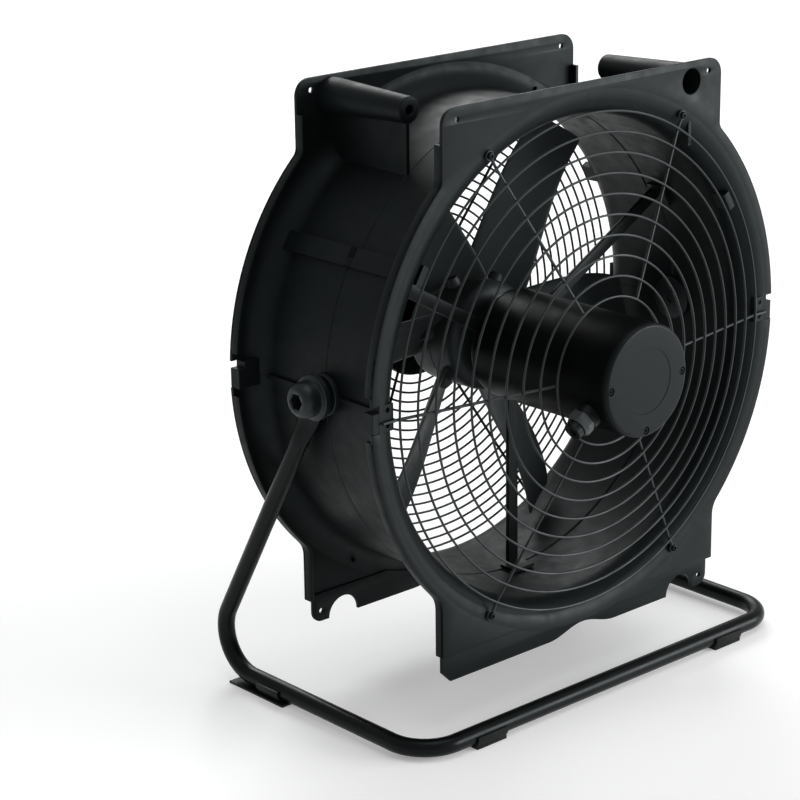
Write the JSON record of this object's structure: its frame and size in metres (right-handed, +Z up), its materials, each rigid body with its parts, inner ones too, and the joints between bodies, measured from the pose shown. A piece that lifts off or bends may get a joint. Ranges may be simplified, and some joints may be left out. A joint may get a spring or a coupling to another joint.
{
  "type": "drum fan",
  "caption": "Portable drum fan: a short plastic drum with flanged mouths, wire guards and a motor in its inlet, tilting between the arms of a bent-tube floor stand.",
  "frame": {"origin": "centre of the bounding box's bottom face, on the floor", "axes": "+X to the right seen from the motor side, along the tilt axis; +Y along the air flow, from the motor side to the outlet; +Z up"},
  "size_m": [0.6026, 0.3728, 0.6555],
  "materials": {
    "housing_plastic": "satin moulded",
    "knob_plastic": "satin moulded",
    "impeller_plastic": "satin moulded",
    "gland_plastic": "satin moulded",
    "gland_nut_plastic": "satin moulded",
    "painted_steel": "black powder coat",
    "wire": "dark coated wire",
    "motor_casting": "black painted casting",
    "laminations": "stacked laminations",
    "bright_steel": "zinc plated",
    "foot_rubber": "moulded"
  },
  "bodies": {
    "housing": {"housing_front_upper": "housing_plastic", "housing_front_lower": "housing_plastic", "housing_rear_upper": "housing_plastic", "housing_rear_lower": "housing_plastic", "side_joint_front_right": "housing_plastic", "side_joint_front_left": "housing_plastic", "side_joint_rear_left": "housing_plastic", "side_joint_rear_right": "housing_plastic", "front_grille": "wire", "rear_grille": "wire", "front_grille_screw_1": "bright_steel", "front_grille_screw_2": "bright_steel", "front_grille_screw_3": "bright_steel", "front_grille_screw_4": "bright_steel", "rear_grille_screw_1": "bright_steel", "rear_grille_screw_2": "bright_steel", "rear_grille_screw_3": "bright_steel", "rear_grille_screw_4": "bright_steel", "motor_body": "motor_casting", "motor_end_cap": "motor_casting", "motor_cap_screw_1": "bright_steel", "motor_cap_screw_2": "bright_steel", "motor_cap_screw_3": "bright_steel", "stator": "laminations", "bearing_front": "bright_steel", "bearing_rear": "bright_steel", "gland_body": "gland_plastic", "gland_nut": "gland_nut_plastic", "motor_support": "painted_steel", "pivot_spool_right": "knob_plastic", "pivot_spool_left": "knob_plastic"},
    "impeller": {"shaft": "bright_steel", "rotor": "laminations", "hub_front": "impeller_plastic", "hub_rear": "impeller_plastic", "blade_1": "impeller_plastic", "blade_2": "impeller_plastic", "blade_3": "impeller_plastic", "blade_4": "impeller_plastic", "blade_5": "impeller_plastic", "blade_6": "impeller_plastic", "hub_nut": "bright_steel"},
    "stand": {"stand_tube": "painted_steel", "foot_clip_left": "foot_rubber", "foot_clip_right": "foot_rubber", "heel_plate_left": "painted_steel", "heel_plate_right": "painted_steel"},
    "knob_right": {"knob_right": "knob_plastic"},
    "knob_left": {"knob_left": "knob_plastic"}
  },
  "joints": [
    {"name": "housing_tilt", "type": "hinge", "parent": "stand", "child": "housing", "pos_m": [0, 0.01049, 0.3585], "axis": [1, 0, 0], "range_deg": [0, 55]},
    {"name": "impeller_spin", "type": "hinge", "parent": "housing", "child": "impeller", "pos_m": [0, 0.01049, 0.3585], "axis": [0, 1, 0], "continuous": true},
    {"name": "knob_right_turn", "type": "hinge", "parent": "housing", "child": "knob_right", "pos_m": [0.28, 0.01049, 0.3585], "axis": [1, 0, 0], "range_deg": [0, 360]},
    {"name": "knob_left_turn", "type": "hinge", "parent": "housing", "child": "knob_left", "pos_m": [-0.28, 0.01049, 0.3585], "axis": [-1, 0, 0], "range_deg": [0, 360]}
  ]
}
